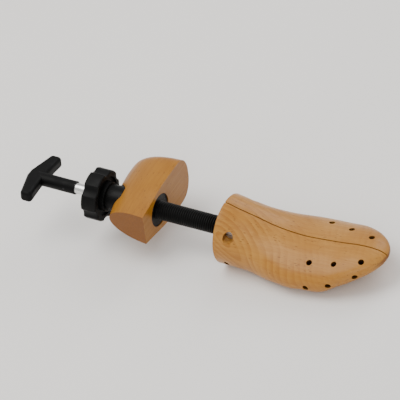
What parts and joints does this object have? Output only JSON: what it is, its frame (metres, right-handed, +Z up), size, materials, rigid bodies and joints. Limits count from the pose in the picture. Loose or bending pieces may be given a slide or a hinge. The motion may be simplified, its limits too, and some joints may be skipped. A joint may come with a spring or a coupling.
{
  "type": "two-way shoe stretcher",
  "caption": "Two-way shoe stretcher: split beech toe block and heel block on a threaded tube, with a length knob and a T-handle that spreads the toe.",
  "frame": {"origin": "on the flat sole of the toe block, in the plane of the split, about a third of the block's length from its rear face", "axes": "+X towards the toe along the sole, +Z up, +Y to the left; the split lies in the XZ plane and the tube rises to the rear by 7.3 degrees"},
  "size_m": [0.4195, 0.1127, 0.082],
  "materials": {
    "toe_wood": "pale beech, smooth with a thin clear satin varnish",
    "heel_wood": "warmer beech with a clear satin varnish, browner end grain",
    "tube_plastic": "black moulded nylon with a cut thread",
    "knob_plastic": "black moulded plastic, fine satin grain",
    "handle_plastic": "black moulded plastic, fine satin grain",
    "bush_plastic": "black moulded plastic, smooth",
    "bright_steel": "bright plated steel with fine turning marks",
    "zinc_steel": "zinc plated steel",
    "spring_steel": "plated spring steel",
    "brass_wedge": "machined brass",
    "black_screws": "black oxide steel"
  },
  "bodies": {
    "tube": {"threaded_tube": "tube_plastic", "tube_flange": "zinc_steel", "flange_nut": "bush_plastic", "cross_bolt": "zinc_steel", "cross_bolt_nut": "zinc_steel", "spring_right": "spring_steel", "spring_left": "spring_steel"},
    "right_half": {"toe_half_right": "toe_wood", "wear_plate_right": "zinc_steel", "plate_screws_right": "zinc_steel"},
    "left_half": {"toe_half_left": "toe_wood", "wear_plate_left": "zinc_steel", "plate_screws_left": "zinc_steel", "guide_dowel_rear": "zinc_steel", "guide_dowel_front": "zinc_steel"},
    "handle": {"t_handle": "handle_plastic", "handle_pin": "black_screws", "spindle": "bright_steel", "retaining_ring": "spring_steel", "thrust_washer": "bright_steel"},
    "wedge": {"spreader_wedge": "brass_wedge"},
    "collar": {"heel_collar": "bush_plastic"},
    "heel": {"heel_block": "heel_wood", "heel_bush": "bush_plastic", "bush_screws": "black_screws"},
    "knob": {"length_knob": "knob_plastic"}
  },
  "joints": [
    {"name": "handle_spin", "type": "hinge", "parent": "tube", "child": "handle", "pos_m": [-0.062, 0, 0.03472], "axis": [0.9919, 0, -0.1271], "range_deg": [0, 5760.01]},
    {"name": "wedge_slide", "type": "slide", "parent": "tube", "child": "wedge", "axis": [0.9919, 0, -0.1271], "range_m": [0, 0.024]},
    {"name": "right_spread", "type": "slide", "parent": "tube", "child": "right_half", "axis": [0, -1, 0], "range_m": [0, 0.00481], "deforming": ["spring_right"]},
    {"name": "left_spread", "type": "slide", "parent": "tube", "child": "left_half", "axis": [0, 1, 0], "range_m": [0, 0.00481], "deforming": ["spring_left"]},
    {"name": "heel_slide", "type": "slide", "parent": "tube", "child": "collar", "axis": [0.9919, 0, -0.1271], "range_m": [0, 0.06]},
    {"name": "knob_spin", "type": "hinge", "parent": "collar", "child": "knob", "pos_m": [-0.062, 0, 0.03472], "axis": [0.9919, 0, -0.1271], "range_deg": [0, 8640.01]},
    {"name": "heel_swivel", "type": "hinge", "parent": "collar", "child": "heel", "pos_m": [-0.062, 0, 0.03472], "axis": [0.9919, 0, -0.1271], "continuous": true}
  ],
  "couplings": [
    {"joint": "handle_spin", "follows": "wedge_slide", "rad_per_m": 4188.8},
    {"joint": "right_spread", "follows": "wedge_slide", "ratio": 0.2},
    {"joint": "left_spread", "follows": "wedge_slide", "ratio": 0.2},
    {"joint": "knob_spin", "follows": "heel_slide", "rad_per_m": 2513.3}
  ]
}
